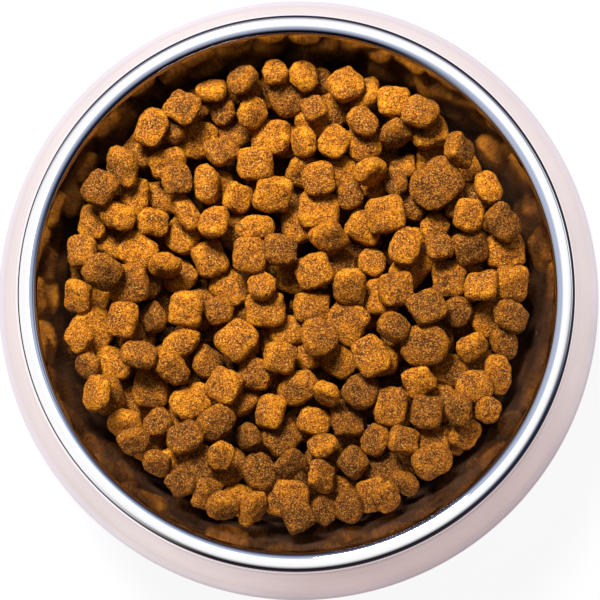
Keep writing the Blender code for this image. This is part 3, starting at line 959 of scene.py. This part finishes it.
def kibble_group():
    """Geometry nodes that put a puffed pillow on each point, by the point's own attributes."""
    tree = bpy.data.node_groups.new("Kibble on points", "GeometryNodeTree")
    for name, kind in (
        ("Geometry", "Geometry"), ("Cuts across", "Int"), ("Cuts along", "Int"),
        ("Cuts up", "Int"), ("Cushion", "Float"), ("Lump size", "Float"),
        ("Lump height", "Float"), ("Dimple size", "Float"), ("Dimple height", "Float"),
        ("Material", "Material"),
    ):
        tree.interface.new_socket(name, in_out="INPUT", socket_type=f"NodeSocket{kind}")
    tree.interface.new_socket("Geometry", in_out="OUTPUT", socket_type="NodeSocketGeometry")
    given = node(tree, "NodeGroupInput").outputs

    # A block on each point, which remembers where each of its corners was
    block = node(tree, "GeometryNodeMeshCube", {
        "Size": (2.0, 2.0, 2.0), "Vertices X": given["Cuts across"],
        "Vertices Y": given["Cuts along"], "Vertices Z": given["Cuts up"]})
    marked = node(tree, "GeometryNodeStoreNamedAttribute", {
        "Geometry": block, "Name": "own_place",
        "Value": node(tree, "GeometryNodeInputPosition")}, data_type="FLOAT_VECTOR")
    spread = node(tree, "GeometryNodeInstanceOnPoints", {
        "Points": given["Geometry"], "Instance": marked})
    real = node(tree, "GeometryNodeRealizeInstances", {"Geometry": spread})
    own_place, half_size, seat, turn, squareness = [
        node(tree, "GeometryNodeInputNamedAttribute", {"Name": name}, data_type=kind)
        for name, kind in (
            ("own_place", "FLOAT_VECTOR"), ("half_size", "FLOAT_VECTOR"),
            ("seat", "FLOAT_VECTOR"), ("turn", "QUATERNION"), ("squareness", "FLOAT"))]

    # Each corner goes along its way from the middle, to where a pillow of its squareness ends
    way = node(tree, "ShaderNodeVectorMath", {0: own_place}, operation="NORMALIZE")
    sides = node(tree, "ShaderNodeVectorMath", {0: way}, operation="ABSOLUTE")
    parts = node(tree, "ShaderNodeSeparateXYZ", {"Vector": sides}).outputs
    across = node(tree, "ShaderNodeMath", {0: parts["X"], 1: squareness}, operation="POWER")
    along = node(tree, "ShaderNodeMath", {0: parts["Y"], 1: squareness}, operation="POWER")
    outline = node(tree, "ShaderNodeMath", {0: across, 1: along}, operation="ADD")
    puff = node(tree, "ShaderNodeMath", {0: given["Cushion"], 1: squareness},
                operation="DIVIDE")
    plan = node(tree, "ShaderNodeMath", {0: outline, 1: puff}, operation="POWER")
    upright = node(tree, "ShaderNodeMath", {0: parts["Z"], 1: given["Cushion"]},
                   operation="POWER")
    whole = node(tree, "ShaderNodeMath", {0: plan, 1: upright}, operation="ADD")
    inverse = node(tree, "ShaderNodeMath", {0: -1.0, 1: given["Cushion"]}, operation="DIVIDE")
    reach = node(tree, "ShaderNodeMath", {0: whole, 1: inverse}, operation="POWER")
    skin = node(tree, "ShaderNodeVectorMath", {0: way, "Scale": reach}, operation="SCALE")
    pillow = node(tree, "ShaderNodeVectorMath", {0: skin, 1: half_size}, operation="MULTIPLY")
    flatness = node(tree, "ShaderNodeMath", {0: parts["Z"], 1: reach}, operation="MULTIPLY")
    face = node(tree, "ShaderNodeMapRange", {
        "Value": flatness, "From Min": FACE_EDGE[0], "From Max": FACE_EDGE[1]})

    # It is turned and put on its seat, where lumps and dimples move it in and out
    swung = node(tree, "FunctionNodeRotateVector", {"Vector": pillow, "Rotation": turn})
    put = node(tree, "ShaderNodeVectorMath", {0: swung, 1: seat}, operation="ADD")
    heading = node(tree, "FunctionNodeRotateVector", {"Vector": way, "Rotation": turn})
    rises = []
    for form, detail in (("Lump", 1.0), ("Dimple", 2.0)):
        noise = node(tree, "ShaderNodeTexNoise", {
            "Vector": put, "Scale": given[f"{form} size"], "Detail": detail})
        swing = node(tree, "ShaderNodeMath", {0: noise, 1: 0.5}, operation="SUBTRACT")
        rises.append(node(tree, "ShaderNodeMath", {0: swing, 1: given[f"{form} height"]},
                          operation="MULTIPLY"))
    rise = node(tree, "ShaderNodeMath", {0: rises[0], 1: rises[1]}, operation="ADD")
    bump = node(tree, "ShaderNodeVectorMath", {0: heading, "Scale": rise}, operation="SCALE")
    bumped = node(tree, "ShaderNodeVectorMath", {0: put, 1: bump}, operation="ADD")
    shaped = node(tree, "GeometryNodeSetPosition", {"Geometry": real, "Position": bumped})
    smooth = node(tree, "GeometryNodeSetShadeSmooth", {"Geometry": shaped})
    faced = node(tree, "GeometryNodeStoreNamedAttribute", {
        "Geometry": smooth, "Name": "face", "Value": face}, data_type="FLOAT")
    coated = node(tree, "GeometryNodeSetMaterial", {
        "Geometry": faced, "Material": given["Material"]})
    node(tree, "NodeGroupOutput", {"Geometry": coated})
    return tree


def kibble_piece(name, kibbles, tones, cuts, group, material):
    """Kibbles as one plain mesh, made by the geometry nodes from a point for each."""
    mesh = bpy.data.meshes.new(name)
    mesh.from_pydata([tuple(k.place * MM) for k in kibbles], [], [])
    half_sizes = [k.size / 2 * PUFF * MM for k in kibbles]
    turns = [Matrix(k.turn.tolist()).to_quaternion() for k in kibbles]
    for label, kind, slot, values in (
        ("seat", "FLOAT_VECTOR", "vector", [k.place * MM for k in kibbles]),
        ("half_size", "FLOAT_VECTOR", "vector", half_sizes),
        ("turn", "QUATERNION", "value", turns),
        ("squareness", "FLOAT", "value", [OVAL + (k.squareness - OVAL) * CRISPER for k in kibbles]),
        ("tone", "FLOAT", "value", tones),
    ):
        layer = mesh.attributes.new(label, kind, "POINT")
        layer.data.foreach_set(slot, np.array(values, dtype=np.float32).ravel())
    thing = add_object(name, mesh)
    modifier = thing.modifiers.new("Kibble", "NODES")
    modifier.node_group = group
    settings = {
        "Cuts across": cuts[0], "Cuts along": cuts[1], "Cuts up": cuts[2], "Cushion": CUSHION,
        "Lump size": per_metre(LUMP_SIZE), "Lump height": LUMP_HEIGHT * MM,
        "Dimple size": per_metre(DIMPLE_SIZE), "Dimple height": DIMPLE_HEIGHT * MM,
        "Material": material,
    }
    for item in group.interface.items_tree:
        if item.in_out == "INPUT" and item.name in settings:
            modifier[item.identifier] = settings[item.name]
    return made_plain(thing)


# Stage, in metres
SKY_LIGHT = 0.05
FLOOR_SIZE = 6.0
PAPER_WHITE = 0.86
PAPER_GLOW = 0.92
# The sheet that the steel mirrors, which glows with painted light: its middle, where its round
# edge starts and ends, its painted lit and shaded colours, which way the painted shade lies, and
# where the painted shade starts and is full
PAPER_MIDDLE = (-0.09, 0.0, 0.0)
PAPER_EDGE = (0.22, 0.26)
PAPER_LIT = (1.06, 0.99, 1.0, 1.0)
PAPER_SHADED = (0.635, 0.51, 0.505, 1.0)
SHADE_WAY = (0.5, -0.87, 0.0)
SHADE_EDGE = (0.05, 0.14)
# The studio: which way its dark near side lies, and the height of its blue line
NEAR_WAY = (0.4, -0.92, 0.0)
LINE_HEIGHT = 0.42
# Each softbox: its place, its size, and its power in watts
SOFTBOXES = (
    ("softbox above", (-0.13, 0.32, 0.50), 0.2, 10.0),
    ("fill", (0.1, 0.2, 0.7), 0.5, 0.8),
)
LAMP_AIM = (0.0, 0.0, 0.03)
# The camera's place, and its lens and turn as they are measured in the photograph's pixels
CAMERA_PLACE = (0.010, -0.024, 0.598)
PICTURE_PIXELS = 600
LENS_PIXELS = 1795
TURN_PIXELS = (71, 28)
SENSOR_WIDTH = 36.0


def rays(tree):
    """Whether a ray is the camera's own, also through glass, and whether a surface mirrors it."""
    path = node(tree, "ShaderNodeLightPath").outputs
    seen = node(tree, "ShaderNodeMath", {
        0: path["Is Camera Ray"], 1: path["Is Transmission Ray"]}, operation="MAXIMUM")
    return seen, path["Is Glossy Ray"]


def floor_material():
    """White paper that keeps a soft shadow. The steel mirrors a glowing sheet of it, painted lit on
    one side and with painted shade on the other, and a painted dark studio beyond its edge."""
    material, tree = new_material("white floor")
    place = node(tree, "ShaderNodeTexCoord").outputs["Object"]
    reach = node(tree, "ShaderNodeVectorMath", {0: place, 1: PAPER_MIDDLE}, operation="DISTANCE")
    shade_side = node(tree, "ShaderNodeVectorMath", {0: place, 1: SHADE_WAY},
                      operation="DOT_PRODUCT")
    mirrored = PAPER_LIT
    for measure, (start, end), colour in (
        (shade_side, SHADE_EDGE, PAPER_SHADED),
        (reach, PAPER_EDGE, linear("#2A262D")),
    ):
        share = node(tree, "ShaderNodeMapRange", {
            "Value": measure, "From Min": start, "From Max": end},
            interpolation_type="SMOOTHSTEP")
        mirrored = node(tree, "ShaderNodeMix", {"Factor": share, "A": mirrored, "B": colour},
                        data_type="RGBA")

    seen, glossy = rays(tree)
    tint = node(tree, "ShaderNodeMix", {"Factor": glossy, "A": grey(1.0), "B": mirrored},
                data_type="RGBA")
    shown = node(tree, "ShaderNodeMath", {0: seen, 1: PAPER_GLOW}, operation="MULTIPLY")
    glowing = node(tree, "ShaderNodeMath", {0: shown, 1: glossy}, operation="MAXIMUM")
    paper = node(tree, "ShaderNodeBsdfDiffuse", {"Color": grey(PAPER_WHITE)})
    glow = node(tree, "ShaderNodeEmission", {"Color": tint, "Strength": 1.0})
    surface = node(tree, "ShaderNodeMixShader", {0: glowing, 1: paper, 2: glow})
    node(tree, "ShaderNodeOutputMaterial", {"Surface": surface})
    return material


def build_floor():
    """The paper that the bowl stands on."""
    bpy.ops.mesh.primitive_plane_add(size=FLOOR_SIZE, location=(0.0, 0.0, 0.0))
    floor = bpy.context.object
    floor.name = "floor"
    floor.data.materials.append(floor_material())


def build_world():
    """A white studio that the steel mirrors: bright above, and darker low down on the near side,
    blue-grey on the far side, with a thin blue line on the right and along the horizon."""
    world = bpy.data.worlds.new("studio")
    bpy.context.scene.world = world
    world.use_nodes = True
    tree = world.node_tree
    tree.nodes.clear()

    way = node(tree, "ShaderNodeTexCoord").outputs["Generated"]
    height = node(tree, "ShaderNodeSeparateXYZ", {"Vector": way}).outputs["Z"]
    flat = node(tree, "ShaderNodeVectorMath", {0: way, 1: (1.0, 1.0, 0.0)}, operation="MULTIPLY")
    level = node(tree, "ShaderNodeVectorMath", {0: flat}, operation="NORMALIZE")
    side = node(tree, "ShaderNodeSeparateXYZ", {"Vector": level}).outputs
    nearness = node(tree, "ShaderNodeVectorMath", {0: level, 1: NEAR_WAY},
                    operation="DOT_PRODUCT")
    above_line = node(tree, "ShaderNodeMath", {0: height, 1: LINE_HEIGHT}, operation="SUBTRACT")
    off_line = node(tree, "ShaderNodeMath", {0: above_line}, operation="ABSOLUTE")
    # Far side, near side, line and horizon: where each starts and is full, and its colour
    studio = grey(1.0)
    for limits, colour in (
        (((side["Y"], 0.2, 0.8), (height, 0.72, 0.2)), "#6F6C86"),
        (((nearness, 0.15, 0.75), (height, 0.95, 0.38)), "#1C1517"),
        (((side["X"], 0.5, 0.8), (off_line, 0.09, 0.03)), "#4C699C"),
        (((height, 0.22, 0.05),), "#26283A"),
    ):
        share = 1.0
        for measure, start, full in limits:
            ramp = node(tree, "ShaderNodeMapRange", {
                "Value": measure, "From Min": start, "From Max": full},
                interpolation_type="SMOOTHSTEP")
            share = node(tree, "ShaderNodeMath", {0: share, 1: ramp}, operation="MULTIPLY")
        studio = node(tree, "ShaderNodeMix", {
            "Factor": share, "A": studio, "B": linear(colour)}, data_type="RGBA")

    seen, glossy = rays(tree)
    colour = node(tree, "ShaderNodeMix", {"Factor": seen, "A": studio, "B": grey(1.0)},
                  data_type="RGBA")
    lit = node(tree, "ShaderNodeMath", {0: seen, 1: glossy}, operation="MAXIMUM")
    strength = node(tree, "ShaderNodeMapRange", {
        "Value": lit, "To Min": SKY_LIGHT, "To Max": 1.0})
    background = node(tree, "ShaderNodeBackground", {"Color": colour, "Strength": strength})
    node(tree, "ShaderNodeOutputWorld", {"Surface": background})


def build_lamp(name, place, size, power):
    """A softbox that faces the bowl."""
    lamp = bpy.data.lights.new(name, "AREA")
    lamp.shape = "DISK"
    lamp.size = size
    lamp.energy = power
    thing = bpy.data.objects.new(name, lamp)
    bpy.context.scene.collection.objects.link(thing)
    thing.location = place
    aim = Vector(LAMP_AIM) - Vector(place)
    thing.rotation_euler = aim.to_track_quat("-Z", "Y").to_euler()


def build_camera():
    """Almost straight above, a little to the right and nearer, at a photographer's distance."""
    lens = bpy.data.cameras.new("camera")
    camera = bpy.data.objects.new("camera", lens)
    bpy.context.scene.collection.objects.link(camera)
    camera.location = CAMERA_PLACE
    camera.rotation_euler = (*[math.atan(turn / LENS_PIXELS) for turn in TURN_PIXELS], 0.0)
    lens.sensor_width = SENSOR_WIDTH
    lens.lens = SENSOR_WIDTH * LENS_PIXELS / PICTURE_PIXELS
    bpy.context.scene.camera = camera


def main():
    """Dress each node of the model, and set the stage round it."""
    bowl_steel = polished_steel()
    skirt_steel = satin_steel()
    rubber = moulded_rubber()
    crust = baked_kibble()

    for name, node_name, profile, material, sheet, slot in (
        ("bowl_shell", "bowl", bowl_profile(), bowl_steel, BOWL_SHEET, "bowl_steel"),
        ("skirt_shell", "skirt", skirt_profile(), skirt_steel, SKIRT_SHEET, "skirt_steel"),
        ("foot_ring", "base_ring", ring_profile(), rubber, 0.0, "ring_rubber"),
    ):
        piece = turned(name, profile, material, sheet)
        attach(piece, "root")
        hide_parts(node_name)

    group = kibble_group()
    draw = np.random.default_rng(POUR_SEED + 1)
    heap = Heap()
    lower, upper = pour_kibble(heap)
    for number, kibble in enumerate(lay_top_kibble(heap), 1):
        name = f"crust_{number:02d}"
        tones = tones_with_painted_shade(heap, [kibble], [draw.uniform(*CRUST_TONES)])
        piece = kibble_piece(name, [kibble], tones, FINE_CUTS, group, crust)
        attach(piece, "root")
        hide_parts(f"kibble_{number:02d}")
    for name, kibbles, cuts, tone_range in (
        ("lower_kibble", lower, PLAIN_CUTS, LOWER_TONES),
        ("upper_kibble", upper, PLAIN_CUTS, UPPER_TONES),
        ("kibble_in_hollows", fill_hollows(heap), PLAIN_CUTS, HOLLOW_TONES),
        ("hidden_kibble", hidden_kibble(), HIDDEN_CUTS, HIDDEN_TONES),
    ):
        tones = tones_with_painted_shade(heap, kibbles, draw.uniform(*tone_range, size=len(kibbles)))
        piece = kibble_piece(name, kibbles, tones, cuts, group, crust)
        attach(piece, "root")
        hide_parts("kibble_bed")

    build_floor()
    build_world()
    for lamp in SOFTBOXES:
        build_lamp(*lamp)
    build_camera()
    bpy.context.scene.view_settings.view_transform = "Standard"


main()
